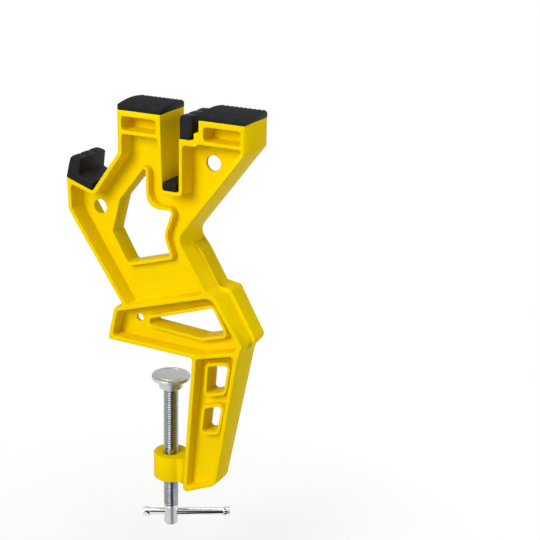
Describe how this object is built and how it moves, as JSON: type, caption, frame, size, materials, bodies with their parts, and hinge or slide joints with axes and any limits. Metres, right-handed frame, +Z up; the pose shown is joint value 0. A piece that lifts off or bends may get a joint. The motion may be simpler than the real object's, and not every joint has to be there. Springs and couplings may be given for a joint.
{
  "type": "ski tuning vise",
  "caption": "Ribbed moulded ski vise with rubber-lined slot, step and angled jaws, a table clamp arm, a screw with a sliding T-bar and a pressure plate.",
  "frame": {"origin": "where the clamp screw's axis meets the table's top face, half way through the vise's depth", "axes": "+X from the screw towards the clamp arm, +Y through the depth, away from the pictured side, +Z up"},
  "size_m": [0.1588, 0.0457, 0.3543],
  "materials": {
    "yellow_plastic": "satin moulded plastic",
    "black_rubber": "matte rubber",
    "zinc_steel": "bright zinc plating",
    "spring_steel": "dark oiled",
    "insert_brass": "machined"
  },
  "bodies": {
    "vise": {"moulded_body": "yellow_plastic", "left_top_pad": "black_rubber", "right_top_pad": "black_rubber", "angled_jaw_pad": "black_rubber", "upright_jaw_pad": "black_rubber", "slot_floor_pad": "black_rubber", "threaded_insert": "insert_brass"},
    "plate": {"pressure_plate": "zinc_steel", "plate_ring": "spring_steel"},
    "screw": {"clamp_screw": "zinc_steel"},
    "bar": {"t_bar": "zinc_steel", "bar_cap_left": "zinc_steel", "bar_cap_right": "zinc_steel"}
  },
  "joints": [
    {"name": "plate_lift", "type": "slide", "parent": "vise", "child": "plate", "axis": [0, 0, 1], "range_m": [-0.0561, 0.0221]},
    {"name": "screw_turn", "type": "hinge", "parent": "plate", "child": "screw", "pos_m": [0, 0, -0.1], "axis": [0, 0, 1], "range_deg": [-10080, 3960]},
    {"name": "bar_slide", "type": "slide", "parent": "screw", "child": "bar", "axis": [0.8554, 0.518, 0], "range_m": [-0.0375, 0.012]}
  ],
  "couplings": [
    {"joint": "plate_lift", "follows": "screw_turn", "m_per_rad": 0.00031831}
  ]
}
